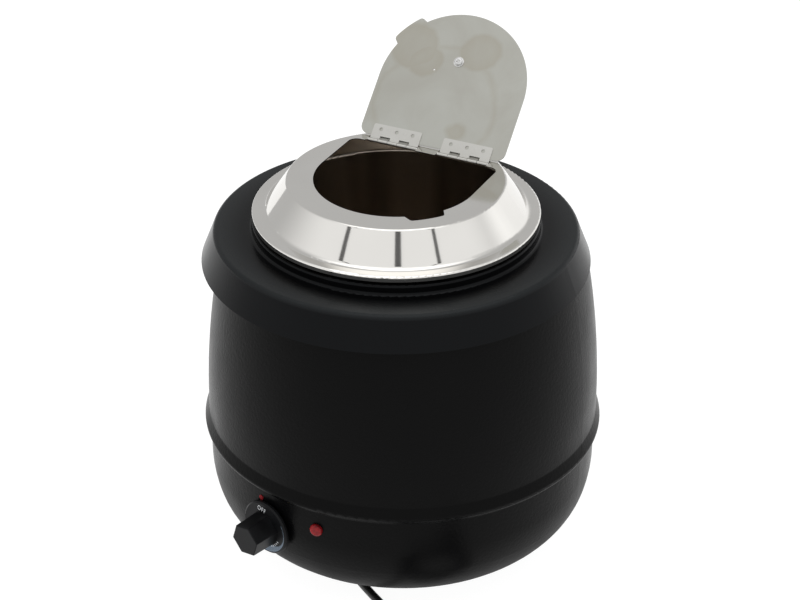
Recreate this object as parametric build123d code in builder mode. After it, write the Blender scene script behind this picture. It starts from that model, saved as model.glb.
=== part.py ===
from build123d import *
import os
from math import asin, cos, degrees, radians, sin, sqrt, tan

# Electric wet-well food warmer: a spun barrel body with a lift-out round pot, a loose ring lid
# and a hinged serving flap.  Millimetres, +Z up, origin on the body axis at floor level.
# The flap hinge is parallel to X at the back (+Y); the control knob is at the front left.
# The flap is modelled open, which is its rest position.

os.makedirs("parts", exist_ok=True)

# ------------------------------------------------------------------ driving dimensions
# body
BASE_Z = 12.2             # underside of the bowl-shaped bottom
BELT_R = 170.8            # body radius just below the bead
BOWL_ARC_R, BOWL_ARC = 60.0, 74.8      # bowl corner: radius and turn
EASE_R = 102.0            # radius that eases the bowl into the vertical wall
BEAD_Z = 110.2            # lower end of the swaged bead
BODY_TOP_R, BODY_TOP_Z = 157.3, 271.5
SHELL_T = 1.0
BOTTOM_HOLE_R = 88.0
# axis of the collar, the pot and the lid, which stand a little off the body's
UPPER_X, UPPER_Y = -5.6, -2.8
# collar
SKIRT_R, SKIRT_Z = 165.8, 271.5
CREASE_R, COLLAR_Z = 154.0, 299.5
NECK_R, NECK_Z = 122.3, 308.0
POT_HOLE_R = 116.4
COLLAR_T = 1.2
# water pan, pot
PAN_R, PAN_Z, PAN_T = 126.8, 52.0, 0.8
POT_R, POT_Z, POT_T = 114.6, 70.0, 0.8
POT_ROLL_R, POT_TOP_Z = 3.1, 314.9
# lid ring
RIM_R, RIM_Z = 122.0, 316.0
LID_TOP_Z = 342.5
LID_T = 0.8
CONE_ANGLE = 54.3
OPENING_R, OPENING_Y, OPENING_BACK_Y = 69.6, -0.5, 54.3
NOTCH_AZ, NOTCH_R = -44.0, 77.3
# flap and its hinge
HINGE_Y, HINGE_Z = 59.5, 341.2
OPEN_ANGLE = 135.0
KNUCKLE_R, PIN_R, LEAF_T = 1.9, 1.0, 0.6
LEAF_X0, LEAF_W = 10.5, 46.0
FLAP_LEAF_DEPTH, RING_LEAF_DEPTH = 16.0, 11.0
FLAP_R, FLAP_CENTRE, FLAP_EDGE, FLAP_T = 68.6, 62.1, 5.4, 0.7
LID_KNOB_B = 86.0
# controls
KNOB_AZ, KNOB_Z = -105.0, 78.0
DIAL_R, DIAL_BACK_R, DIAL_T = 24.6, 173.0, 3.4
GRIP_FLATS, GRIP_TIP_R = 27.0, 200.4
SHAFT_R = 3.0
STAT_R = 141.3            # back of the thermostat, from the axis
LAMP_AZ, LAMP_Z, LAMP_R = -88.4, 93.7, 5.6
MARK_AZ, MARK_Z = -107.9, 102.7
# supply cord
GLAND_AZ, GLAND_Z, GLAND_TIP_R = 69.5, 66.0, 206.0
CORD_R = 3.75
# underside
FOOT_R, FOOT_H, FOOT_PCR, FOOT_AZ = 12.0, 11.0, 92.0, 10.0
PLATE_T = 1.0


# ------------------------------------------------------------------ helpers
def write(builder, node):
    """Names a finished sub-part and writes it as parts/node.step."""
    builder.part.label = node
    export_step(builder.part, f"parts/{node}.step")
    return builder.part


def polar(r, az, z=0.0):
    """A point at radius r and azimuth az (degrees)."""
    return Vector(r * cos(radians(az)), r * sin(radians(az)), z)


def wall_plane(r, az, z):
    """A plane facing straight out of the body wall: local x is level, local y is up."""
    return Plane(
        origin=polar(r, az, z),
        x_dir=(-sin(radians(az)), cos(radians(az)), 0),
        z_dir=(cos(radians(az)), sin(radians(az)), 0),
    )


def floor_plane(az, r=0.0, z=0.0):
    """A level plane whose local x points along azimuth az."""
    return Plane(origin=polar(r, az, z), x_dir=(cos(radians(az)), sin(radians(az)), 0), z_dir=(0, 0, 1))


FLAT_R = BELT_R - EASE_R * (1 - sin(radians(BOWL_ARC))) - BOWL_ARC_R * sin(radians(BOWL_ARC))
EASE_TOP_Z = BASE_Z + BOWL_ARC_R * (1 - cos(radians(BOWL_ARC))) + EASE_R * cos(radians(BOWL_ARC))


def body_radius(z):
    """Outer radius of the plain wall between the bowl and the bead."""
    below = max(0.0, EASE_TOP_Z - z)
    return BELT_R - EASE_R + sqrt(EASE_R**2 - below**2)


def tube(points, radii, r, node=None):
    """A round tube of radius r along straight runs joined by tangent arcs."""
    with BuildPart() as made:
        with BuildLine():
            route = FilletPolyline(*points, radius=radii)
        with BuildSketch(Plane(route @ 0, z_dir=route % 0)):
            Circle(r)
        sweep()
    if node:
        write(made, node)
    return made, route.length


def u_outline(half_width, centre_y, straight_y, corner_r):
    """A U-shaped face: a half circle about (0, centre_y), straight sides and a straight edge."""
    away = 1 if straight_y > centre_y else -1
    with BuildSketch() as outline:
        with BuildLine():
            ThreePointArc((-half_width, centre_y), (0, centre_y - away * half_width), (half_width, centre_y))
            FilletPolyline(
                (half_width, centre_y), (half_width, straight_y),
                (-half_width, straight_y), (-half_width, centre_y),
                radius=corner_r,
            )
        make_face()
    return outline.sketch


def loose_radii(points):
    """The bend radius at each corner of a loose cord: as large as its two runs allow."""
    radii = []
    for a, b, c in zip(points, points[1:], points[2:]):
        turn = (Vector(*b) - Vector(*a)).get_angle(Vector(*c) - Vector(*b))
        run = min((Vector(*b) - Vector(*a)).length, (Vector(*c) - Vector(*b)).length)
        radii.append(0.45 * run / tan(radians(turn / 2)))
    return radii


# ------------------------------------------------------------------ outer shell
def shell_side(inset):
    """The shell's profile from the hole in its bottom to the one in its top, moved in by inset."""
    with BuildLine() as side:
        flat = Line((BOTTOM_HOLE_R, BASE_Z + inset), (FLAT_R, BASE_Z + inset))
        bowl = JernArc(flat @ 1, flat % 1, BOWL_ARC_R - inset, BOWL_ARC)
        ease = JernArc(bowl @ 1, bowl % 1, EASE_R - inset, 90 - BOWL_ARC)
        belt = Line(ease @ 1, ((ease @ 1).X, BEAD_Z))
        bead_foot = JernArc(belt @ 1, (0, 1), 3 + inset, -55)
        bead_under = PolarLine(bead_foot @ 1, 2.15, direction=bead_foot % 1)
        bead_crest = JernArc(bead_under @ 1, bead_under % 1, 4 - inset, 78)
        bead_back = PolarLine(bead_crest @ 1, 8.5, direction=bead_crest % 1)
        bead_end = JernArc(bead_back @ 1, bead_back % 1, 3 + inset, -23)
        rise, lean = BODY_TOP_Z - (bead_end @ 1).Y, (bead_end @ 1).X + inset - BODY_TOP_R
        barrel_r = (rise**2 + lean**2) / (2 * lean)
        barrel = JernArc(bead_end @ 1, (0, 1), barrel_r - inset, degrees(asin(rise / barrel_r)))
        lean_in = JernArc(barrel @ 1, barrel % 1, 30 - inset, 12)
        shoulder = PolarLine(lean_in @ 1, 16, direction=lean_in % 1)
        turn = JernArc(shoulder @ 1, shoulder % 1, 5 - inset, Vector(-1, 0).get_angle(shoulder % 1))
        Line(turn @ 1, (138, (turn @ 1).Y))
    return side.line


with BuildPart() as outer_shell:
    with BuildSketch(Plane.XZ):
        with BuildLine():
            add(shell_side(0))
            add(shell_side(SHELL_T))
            Line((BOTTOM_HOLE_R, BASE_Z), (BOTTOM_HOLE_R, BASE_Z + SHELL_T))
            Line(*[side.vertices().sort_by(Axis.Y)[-1] for side in (shell_side(0), shell_side(SHELL_T))])
        make_face()
    revolve(axis=Axis.Z)
    for hole_r, az, z in ((5.3, KNOB_AZ, KNOB_Z), (5.1, LAMP_AZ, LAMP_Z), (8.1, GLAND_AZ, GLAND_Z)):
        with Locations(wall_plane(150, az, z)):
            Cylinder(hole_r, 25, align=(Align.CENTER, Align.CENTER, Align.MIN), mode=Mode.SUBTRACT)
    for pcr, az in ((FOOT_PCR, FOOT_AZ), (FOOT_PCR + 3, FOOT_AZ + 45)):
        with Locations((0, 0, BASE_Z)):
            with PolarLocations(pcr, 4, start_angle=az):
                Cylinder(2.2, 6, mode=Mode.SUBTRACT)
write(outer_shell, "outer_shell")
SHELL_TOP_Z = outer_shell.part.bounding_box().max.Z

# ------------------------------------------------------------------ collar
upper_side = Plane(origin=(UPPER_X, UPPER_Y, 0), x_dir=(1, 0, 0), z_dir=(0, -1, 0))
upper_axis = Axis((UPPER_X, UPPER_Y, 0), (0, 0, 1))

with BuildPart() as collar:
    with BuildSketch(upper_side):
        with BuildLine():
            lip = Line((POT_HOLE_R, NECK_Z), (NECK_R - 2.0, NECK_Z))
            lip_turn = JernArc(lip @ 1, (1, 0), 2.0, -90)
            neck = Line(lip_turn @ 1, (NECK_R, COLLAR_Z + 2.5))
            root = JernArc(neck @ 1, (0, -1), 2.5, 90)
            top = Line(root @ 1, (CREASE_R - 2.2, COLLAR_Z))
            crease = JernArc(top @ 1, (1, 0), 4.0, -66)
            Line(crease @ 1, (SKIRT_R, SKIRT_Z))
            offset(amount=COLLAR_T, side=Side.RIGHT)
        make_face()
    revolve(axis=upper_axis)
write(collar, "collar")

# ------------------------------------------------------------------ water pan
with BuildPart() as water_pan:
    with BuildSketch(Plane.XZ):
        with BuildLine():
            pan_floor = Line((0, PAN_Z), (PAN_R - 9, PAN_Z))
            pan_corner = JernArc(pan_floor @ 1, (1, 0), 9, 90)
            pan_wall = Line(pan_corner @ 1, (PAN_R, SHELL_TOP_Z - 3.8))
            pan_lip = JernArc(pan_wall @ 1, (0, 1), 4, -90)
            Line(pan_lip @ 1, (145, (pan_lip @ 1).Y))
            offset(amount=PAN_T, side=Side.LEFT)
        make_face()
    revolve(axis=Axis.Z)
write(water_pan, "water_pan")

# ------------------------------------------------------------------ soup pot
with BuildPart() as soup_pot:
    with BuildSketch(upper_side):
        with BuildLine():
            inner_r = POT_R - POT_T
            pot_floor = Line((0, POT_Z + POT_T), (inner_r - 12, POT_Z + POT_T))
            pot_corner = JernArc(pot_floor @ 1, (1, 0), 12, 90)
            pot_wall = Line(pot_corner @ 1, (inner_r, POT_TOP_Z - POT_ROLL_R))
            JernArc(pot_wall @ 1, (0, 1), POT_ROLL_R, -262)
            offset(amount=POT_T, side=Side.RIGHT)
        make_face()
    revolve(axis=upper_axis)
write(soup_pot, "soup_pot")

# ------------------------------------------------------------------ lid ring
NOTCH_INNER_R = 61.0
lid_top_cut = Plane(origin=(UPPER_X, UPPER_Y, LID_TOP_Z - 5))
NOTCH_HALF_IN, NOTCH_HALF_OUT = 18.8, 10.75


def about_opening(r, az):
    """A point about the centre of the opening's round front."""
    return (r * cos(radians(az)), OPENING_Y + r * sin(radians(az)))


with BuildPart() as lid_ring:
    with BuildSketch(upper_side):
        with BuildLine():
            hem = Line((RIM_R, RIM_Z - 4.8), (RIM_R, RIM_Z - 1.6))
            hem_turn = JernArc(hem @ 1, (0, 1), 1.6, 90)
            rim = Line(hem_turn @ 1, (114.2, RIM_Z))
            cone_foot = JernArc(rim @ 1, (-1, 0), 5.8, -CONE_ANGLE)
            foot_x, foot_z = (cone_foot @ 1).X, (cone_foot @ 1).Y
            crease_r = 2.6
            rise = LID_TOP_Z - crease_r * (1 - cos(radians(CONE_ANGLE))) - foot_z
            cone = PolarLine(cone_foot @ 1, rise / sin(radians(CONE_ANGLE)), direction=cone_foot % 1)
            top_crease = JernArc(cone @ 1, cone % 1, crease_r, CONE_ANGLE)
            Line(top_crease @ 1, (0, LID_TOP_Z))
            offset(amount=LID_T, side=Side.LEFT)
        make_face()
    revolve(axis=upper_axis)
    with BuildSketch(lid_top_cut):
        add(u_outline(OPENING_R, OPENING_Y, OPENING_BACK_Y, 8))
    extrude(amount=10, mode=Mode.SUBTRACT)
    with BuildSketch(lid_top_cut) as ladle_notch:
        with BuildLine():
            near = [about_opening(NOTCH_INNER_R, NOTCH_AZ + s * NOTCH_HALF_IN) for s in (-1, 1)]
            far = [about_opening(NOTCH_R, NOTCH_AZ + s * NOTCH_HALF_OUT) for s in (-1, 0, 1)]
            Line(near[0], far[0])
            ThreePointArc(*far)
            Line(far[2], near[1])
            Line(near[1], near[0])
        make_face()
        outer_corners = ladle_notch.vertices().filter_by(
            lambda v: sqrt(v.X**2 + (v.Y - OPENING_Y) ** 2) > NOTCH_R - 1
        )
        fillet(outer_corners, radius=3)
    extrude(amount=10, mode=Mode.SUBTRACT)
    with BuildSketch(lid_top_cut):
        for side in (-1, 1):
            with Locations((side * (LEAF_X0 + LEAF_W / 2), OPENING_BACK_Y - 4)):
                Rectangle(LEAF_W + 2, HINGE_Y + 4.8 - OPENING_BACK_Y + 4, align=(Align.CENTER, Align.MIN))
    extrude(amount=10, mode=Mode.SUBTRACT)
write(lid_ring, "lid_ring")

# ------------------------------------------------------------------ hinges
# Two butt hinges.  Each has five knuckles on one pin: the flap leaf holds knuckles 0, 2 and 4,
# the ring leaf 1 and 3.  Both leaves are tangent to the top of the knuckles when the flap is shut.
KNUCKLES, KNUCKLE_GAP = 5, 0.3
PITCH = LEAF_W / KNUCKLES
CLEAR_DEPTH = 5.1          # each leaf is cut back this far where it faces the other's knuckles
HOLE_X, HOLE_B = (7.7, 22.8, 38.1), 11.4

hinge_place = (UPPER_X, UPPER_Y + HINGE_Y, HINGE_Z)
hinge_axis_x = Plane(origin=hinge_place, x_dir=(0, 1, 0), z_dir=(1, 0, 0))
open_normal = (0, sin(radians(OPEN_ANGLE)), cos(radians(OPEN_ANGLE)))
flap_plane = Plane(origin=hinge_place, x_dir=(1, 0, 0), z_dir=open_normal)
shut_plane = Plane(origin=hinge_place, x_dir=(1, 0, 0), z_dir=(0, 0, 1))


def hinge_leaf(plane, away, depth, own, holes_b):
    """Both hinges' leaf on one side.  away is -1 or +1: the local y direction of the plate."""
    with BuildPart() as leaf:
        for x0 in (LEAF_X0, -LEAF_X0 - LEAF_W):
            with BuildSketch(plane.offset(KNUCKLE_R - LEAF_T)) as outline:
                with Locations((x0 + LEAF_W / 2, away * depth / 2)):
                    Rectangle(LEAF_W, depth)
                fillet(outline.vertices().sort_by(Axis.Y)[-2 if away > 0 else 0:][:2], radius=1.5)
                for k in range(KNUCKLES):
                    if k not in own:
                        with Locations((x0 + (k + 0.5) * PITCH, away * CLEAR_DEPTH / 2)):
                            Rectangle(PITCH + KNUCKLE_GAP, CLEAR_DEPTH + 0.01, mode=Mode.SUBTRACT)
                if holes_b:
                    with Locations(*[(x0 + x, away * holes_b) for x in HOLE_X]):
                        Circle(1.7, mode=Mode.SUBTRACT)
            extrude(amount=LEAF_T)
            for k in own:
                start = x0 + k * PITCH + (KNUCKLE_GAP / 2 if k > 0 else 0)
                end = x0 + (k + 1) * PITCH - (KNUCKLE_GAP / 2 if k < KNUCKLES - 1 else 0)
                with BuildSketch(hinge_axis_x.offset(start)):
                    Circle(KNUCKLE_R)
                extrude(amount=end - start)
        for x0 in (LEAF_X0, -LEAF_X0 - LEAF_W):
            with BuildSketch(hinge_axis_x.offset(x0 - 1)):
                Circle(PIN_R + 0.06)
            extrude(amount=LEAF_W + 2, mode=Mode.SUBTRACT)
    return leaf


write(hinge_leaf(shut_plane, 1, RING_LEAF_DEPTH, (1, 3), 0), "ring_hinge_leaves")
write(hinge_leaf(flap_plane, -1, FLAP_LEAF_DEPTH, (0, 2, 4), HOLE_B), "flap_hinge_leaves")

with BuildPart() as hinge_pins:
    for x0 in (LEAF_X0, -LEAF_X0 - LEAF_W):
        with BuildSketch(hinge_axis_x.offset(x0 - 0.4)):
            Circle(PIN_R)
        extrude(amount=LEAF_W + 0.8)
        with BuildSketch(hinge_axis_x.offset(x0 + LEAF_W + 0.05)):
            Circle(1.55)
        extrude(amount=0.7)
        with BuildSketch(hinge_axis_x.offset(x0 - 0.75)):
            Circle(1.55)
        extrude(amount=0.7)
write(hinge_pins, "hinge_pins")

# ------------------------------------------------------------------ flap
TAB_AZ, TAB_TIP_R = -140.5, 74.7


def about_flap(r, az):
    """A point about the centre of the flap's round front, in the flap plane."""
    return (r * cos(radians(az)), -FLAP_CENTRE + r * sin(radians(az)))


with BuildPart() as lid_flap:
    with BuildSketch(flap_plane.offset(KNUCKLE_R)):
        add(u_outline(FLAP_R, -FLAP_CENTRE, -FLAP_EDGE, 8))
    extrude(amount=FLAP_T)
    with BuildSketch(flap_plane.offset(KNUCKLE_R)) as finger_tab:
        with BuildLine():
            tab_near = [about_flap(60, TAB_AZ + s * 17.5) for s in (-1, 1)]
            tab_far = [about_flap(TAB_TIP_R, TAB_AZ + s * 11.5) for s in (-1, 0, 1)]
            Line(tab_near[0], tab_far[0])
            ThreePointArc(*tab_far)
            Line(tab_far[2], tab_near[1])
            Line(tab_near[1], tab_near[0])
        make_face()
        tab_corners = finger_tab.vertices().filter_by(
            lambda v: sqrt(v.X**2 + (v.Y + FLAP_CENTRE) ** 2) > TAB_TIP_R - 1
        )
        fillet(tab_corners, radius=3.5)
    extrude(amount=FLAP_T)
    with BuildSketch(flap_plane.offset(KNUCKLE_R - 1)):
        with Locations((0, -LID_KNOB_B)):
            Circle(2.2)
        with Locations((-20, -(LID_KNOB_B - 11))):
            Circle(0.75)
    extrude(amount=3, mode=Mode.SUBTRACT)
write(lid_flap, "lid_flap")

# ------------------------------------------------------------------ lid knob and its screw
knob_seat = flap_plane.offset(KNUCKLE_R + FLAP_T).shift_origin(
    flap_plane.offset(KNUCKLE_R + FLAP_T).from_local_coords(Vector(0, -LID_KNOB_B, 0))
)
with BuildPart() as lid_knob:
    with BuildSketch(Plane(origin=knob_seat.origin, x_dir=(1, 0, 0), z_dir=-knob_seat.y_dir)) as turned:
        with BuildLine():
            Polyline((0, 0), (9.0, 0), (8.0, 1.5))
            Spline((8.0, 1.5), (6.4, 8.0), (12.0, 13.5), tangents=((-0.5, 1), (1, 0.25)))
            Spline((12.0, 13.5), (15.5, 17.5), (0, 24.0), tangents=((1, 0.25), (-1, 0)))
            Line((0, 24.0), (0, 0))
        make_face()
    revolve(axis=Axis(knob_seat.origin, knob_seat.z_dir))
    with BuildSketch(knob_seat.offset(-0.5)):
        Circle(2.0)
    extrude(amount=12, mode=Mode.SUBTRACT)
write(lid_knob, "lid_knob")

screw_seat = knob_seat.from_local_coords(Vector(0, 0, -FLAP_T))
screw_face = Plane(origin=screw_seat, x_dir=(1, 0, 0), z_dir=-knob_seat.z_dir)
with BuildPart() as lid_knob_washer:
    with BuildSketch(screw_face):
        Circle(4.6)
        Circle(2.15, mode=Mode.SUBTRACT)
    extrude(amount=0.6)
write(lid_knob_washer, "lid_knob_washer")

with BuildPart() as lid_knob_screw:
    with BuildSketch(screw_face.offset(0.6)):
        Circle(3.6)
    extrude(amount=2.0)
    fillet(lid_knob_screw.faces().sort_by(Axis(screw_face.origin, screw_face.z_dir))[-1].edges(), radius=1.1)
    with BuildSketch(screw_face.offset(1.6)):
        for turn in (20, 110):
            with Locations(Location((0, 0, 0), (0, 0, turn))):
                Rectangle(3.6, 0.8)
    extrude(amount=2, mode=Mode.SUBTRACT)
    with BuildSketch(screw_face.offset(0.6)):
        Circle(2.0)
    extrude(amount=-12)
write(lid_knob_screw, "lid_knob_screw")

# ------------------------------------------------------------------ control knob and thermostat
with BuildPart() as control_knob:
    with BuildSketch(wall_plane(DIAL_BACK_R, KNOB_AZ, KNOB_Z)):
        Circle(DIAL_R)
    extrude(amount=DIAL_T)
    knob_axis = Axis(polar(DIAL_BACK_R, KNOB_AZ, KNOB_Z), polar(1, KNOB_AZ))
    chamfer(control_knob.edges().group_by(knob_axis)[-1], length=1.3)
    with BuildSketch(wall_plane(DIAL_BACK_R + DIAL_T, KNOB_AZ, KNOB_Z)):
        grip = RegularPolygon(GRIP_FLATS / 2, 6, major_radius=False, rotation=12)
        fillet(grip.vertices(), radius=1.6)
    extrude(amount=GRIP_TIP_R - DIAL_BACK_R - DIAL_T, taper=1.5)
    chamfer(control_knob.faces().sort_by(knob_axis)[-1].edges(), length=0.7)
    with BuildSketch(wall_plane(DIAL_BACK_R, KNOB_AZ, KNOB_Z)):
        Circle(SHAFT_R + 0.03)
    extrude(amount=17, mode=Mode.SUBTRACT)
write(control_knob, "control_knob")

with BuildPart() as thermostat_shaft:
    with BuildSketch(wall_plane(STAT_R + 14, KNOB_AZ, KNOB_Z)):
        Circle(SHAFT_R)
    extrude(amount=DIAL_BACK_R + 2 - STAT_R)
write(thermostat_shaft, "thermostat_shaft")

with BuildPart() as thermostat_body:
    with BuildSketch(wall_plane(STAT_R, KNOB_AZ, KNOB_Z)):
        RectangleRounded(34, 30, 2.5)
    extrude(amount=20)
    with BuildSketch(wall_plane(STAT_R + 20, KNOB_AZ, KNOB_Z)):
        Circle(5.0)
    extrude(amount=10.8)
    with BuildSketch(wall_plane(STAT_R, KNOB_AZ, KNOB_Z)):
        with Locations((-12, 9), (12, 9), (-12, -1)):
            Rectangle(6.3, 0.8)
    extrude(amount=-5)
    with BuildSketch(wall_plane(STAT_R + 13.8, KNOB_AZ, KNOB_Z)):
        Circle(SHAFT_R + 0.08)
    extrude(amount=20, mode=Mode.SUBTRACT)
write(thermostat_body, "thermostat_body")

with BuildPart() as thermostat_bracket:
    with BuildSketch(wall_plane(STAT_R + 20.1, KNOB_AZ, KNOB_Z)):
        RectangleRounded(40, 28, 3)
        Circle(5.15, mode=Mode.SUBTRACT)
    extrude(amount=1.5)
write(thermostat_bracket, "thermostat_bracket")

with BuildPart() as thermostat_nut:
    with BuildSketch(wall_plane(170.95, KNOB_AZ, KNOB_Z)):
        RegularPolygon(7.0, 6, major_radius=False)
        Circle(5.02, mode=Mode.SUBTRACT)
    extrude(amount=1.9)
write(thermostat_nut, "thermostat_nut")

# sensing bulb against the pan wall, its spring clip and the capillary from the thermostat
BULB_AZ, BULB_R = -85.0, 130.2
with BuildPart() as sensing_bulb:
    with BuildSketch(floor_plane(BULB_AZ, BULB_R, 68)):
        Circle(3.0)
    extrude(amount=72)
    fillet(sensing_bulb.edges().filter_by(GeomType.CIRCLE), radius=1.2)
write(sensing_bulb, "sensing_bulb")

with BuildPart() as bulb_clip:
    with BuildSketch(floor_plane(BULB_AZ, BULB_R, 96)):
        Rectangle(3.2, 16)
        with Locations((3.4, 0)):
            Rectangle(4.6, 9.4)
        Circle(3.1, mode=Mode.SUBTRACT)
    extrude(amount=12)
    with BuildSketch(Plane.XY.offset(95)):
        Circle(PAN_R + 0.1)
    extrude(amount=14, mode=Mode.SUBTRACT)
write(bulb_clip, "bulb_clip")

capillary_route = [
    polar(STAT_R + 10, -101, KNOB_Z - 15),
    polar(STAT_R + 10, -101, 44),
    polar(139, -92, 41),
    polar(BULB_R, BULB_AZ, 48),
    polar(BULB_R, BULB_AZ, 68),
]
tube(capillary_route, 5, 0.9, "capillary_tube")

# ------------------------------------------------------------------ indicator lamp and pointer mark
with BuildPart() as lamp_lens:
    lens_base = body_radius(LAMP_Z) + 0.15
    with BuildSketch(wall_plane(lens_base, LAMP_AZ, LAMP_Z)):
        Circle(LAMP_R)
    extrude(amount=3.4)
    lens_axis = Axis(polar(lens_base, LAMP_AZ, LAMP_Z), polar(1, LAMP_AZ))
    fillet(lamp_lens.edges().group_by(lens_axis)[-1], radius=2.2)
write(lamp_lens, "lamp_lens")

with BuildPart() as lamp_housing:
    with BuildSketch(wall_plane(lens_base - 24, LAMP_AZ, LAMP_Z)):
        Circle(4.9)
    extrude(amount=24)
    with BuildSketch(wall_plane(lens_base - 24, LAMP_AZ, LAMP_Z)):
        with Locations((-2.2, 0), (2.2, 0)):
            Rectangle(0.8, 4.8)
    extrude(amount=-5)
write(lamp_housing, "lamp_housing")

with BuildPart() as lamp_clip:
    with BuildSketch(wall_plane(body_radius(LAMP_Z) - SHELL_T - 2.2, LAMP_AZ, LAMP_Z)):
        RectangleRounded(14, 14, 2)
        Circle(4.95, mode=Mode.SUBTRACT)
    extrude(amount=1.0)
write(lamp_clip, "lamp_clip")

with BuildPart() as pointer_mark:
    with BuildSketch(wall_plane(body_radius(MARK_Z) + 0.02, MARK_AZ, MARK_Z)):
        Circle(2.3)
    extrude(amount=0.5)
write(pointer_mark, "pointer_mark")

# ------------------------------------------------------------------ heating element and its clamp
ELEMENT_R, ELEMENT_TUBE_R = 80.0, 4.0
ELEMENT_Z = PAN_Z - ELEMENT_TUBE_R - 0.1
ELEMENT_GAP_AZ, ELEMENT_GAP = -110.0, 20.0
element_ends = (ELEMENT_GAP_AZ + ELEMENT_GAP / 2, ELEMENT_GAP_AZ - ELEMENT_GAP / 2)
with BuildPart() as heating_element:
    with Locations(floor_plane(element_ends[0], 0, ELEMENT_Z)):
        Torus(ELEMENT_R, ELEMENT_TUBE_R, major_angle=360 - ELEMENT_GAP)
    for az in element_ends:
        with Locations(polar(ELEMENT_R, az, ELEMENT_Z)):
            Sphere(ELEMENT_TUBE_R)
        with BuildSketch(Plane(origin=polar(ELEMENT_R, az, ELEMENT_Z))):
            Circle(ELEMENT_TUBE_R)
        extrude(amount=-12)
        with BuildSketch(Plane(origin=polar(ELEMENT_R, az, ELEMENT_Z - 12))):
            Circle(1.6)
        extrude(amount=-8)
write(heating_element, "heating_element")

CLAMP_TOP_Z = ELEMENT_Z - ELEMENT_TUBE_R - 0.1
with BuildPart() as element_clamp:
    with BuildSketch(floor_plane(25, 0, CLAMP_TOP_Z)):
        Rectangle(176, 22)
        Rectangle(22, 176)
        Circle(24)
        Circle(3.2, mode=Mode.SUBTRACT)
    extrude(amount=-1.5)
write(element_clamp, "element_clamp")

with BuildPart() as clamp_stud:
    with BuildSketch(Plane.XY.offset(PAN_Z)):
        Circle(3.0)
    extrude(amount=-18)
write(clamp_stud, "clamp_stud")

with BuildPart() as clamp_nut:
    with BuildSketch(Plane.XY.offset(CLAMP_TOP_Z - 1.6)):
        RegularPolygon(5.0, 6, major_radius=False)
        Circle(3.02, mode=Mode.SUBTRACT)
    extrude(amount=-5)
write(clamp_nut, "clamp_nut")

CUTOUT_PLACE = polar(54, 70, PAN_Z)
with BuildPart() as thermal_cutout:
    with BuildSketch(Plane(origin=CUTOUT_PLACE)):
        Circle(8)
    extrude(amount=-9)
    with BuildSketch(Plane(origin=CUTOUT_PLACE + Vector(0, 0, -9))):
        with Locations((-4.5, 0), (4.5, 0)):
            Rectangle(0.8, 6.3)
    extrude(amount=-7)
write(thermal_cutout, "thermal_cutout")

# ------------------------------------------------------------------ base plate, feet and fixings
PLATE_TOP_Z = BASE_Z - 0.1
with BuildPart() as base_plate:
    with BuildSketch(Plane.XY.offset(PLATE_TOP_Z)):
        Circle(105)
        with PolarLocations(FOOT_PCR, 4, start_angle=FOOT_AZ):
            Circle(2.2, mode=Mode.SUBTRACT)
        with PolarLocations(FOOT_PCR + 3, 4, start_angle=FOOT_AZ + 45):
            Circle(2.2, mode=Mode.SUBTRACT)
        with PolarLocations(40, 8):
            SlotOverall(26, 4, mode=Mode.SUBTRACT)
    extrude(amount=-PLATE_T)
write(base_plate, "base_plate")

with BuildPart() as feet:
    with PolarLocations(FOOT_PCR, 4, start_angle=FOOT_AZ):
        Cone(FOOT_R, FOOT_R - 1.0, FOOT_H, align=(Align.CENTER, Align.CENTER, Align.MIN))
    for k in range(4):
        with BuildSketch(floor_plane(FOOT_AZ + 90 * k, FOOT_PCR, 0)):
            Circle(4.6)
        extrude(amount=5, mode=Mode.SUBTRACT)
        with BuildSketch(floor_plane(FOOT_AZ + 90 * k, FOOT_PCR, 0)):
            Circle(2.1)
        extrude(amount=FOOT_H, mode=Mode.SUBTRACT)
write(feet, "feet")


def screws(node, pcr, start_az, head_z, head_r, head_h, shank_r, length):
    """Four screws pointing up, heads below, on a circle."""
    with BuildPart() as made:
        for k in range(4):
            place = polar(pcr, start_az + 90 * k, head_z)
            with BuildSketch(Plane(origin=place)):
                Circle(head_r)
            extrude(amount=-head_h)
            with BuildSketch(Plane(origin=place)):
                Circle(shank_r)
            extrude(amount=length)
            with BuildSketch(Plane(origin=place + Vector(0, 0, -head_h))):
                Rectangle(head_r * 1.1, 0.7)
                Rectangle(0.7, head_r * 1.1)
            extrude(amount=head_h / 2, mode=Mode.SUBTRACT)
    write(made, node)


screws("foot_screws", FOOT_PCR, FOOT_AZ, 4.9, 4.2, 2.4, 1.95, 13.6)
screws("base_screws", FOOT_PCR + 3, FOOT_AZ + 45, PLATE_TOP_Z - PLATE_T - 0.05, 3.8, 2.0, 1.95, 7.4)

with BuildPart() as fixing_nuts:
    for pcr, start in ((FOOT_PCR, FOOT_AZ), (FOOT_PCR + 3, FOOT_AZ + 45)):
        for k in range(4):
            with BuildSketch(Plane(origin=polar(pcr, start + 90 * k, BASE_Z + SHELL_T + 0.1))):
                RegularPolygon(3.5, 6, major_radius=False)
                Circle(1.98, mode=Mode.SUBTRACT)
            extrude(amount=3.0)
write(fixing_nuts, "fixing_nuts")

BLOCK_R, BLOCK_W, BLOCK_D, BLOCK_H = 60.0, 34.0, 18.0, 15.0
with BuildPart() as terminal_block:
    with BuildSketch(floor_plane(GLAND_AZ, BLOCK_R, PLATE_TOP_Z + 0.05)):
        Rectangle(BLOCK_D, BLOCK_W)
    extrude(amount=BLOCK_H)
    with BuildSketch(floor_plane(GLAND_AZ, BLOCK_R, PLATE_TOP_Z + BLOCK_H + 0.05)):
        with Locations(*[(x, y) for x in (-4.5, 4.5) for y in (-11, 0, 11)]):
            Circle(2.2)
    extrude(amount=-6, mode=Mode.SUBTRACT)
write(terminal_block, "terminal_block")

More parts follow.
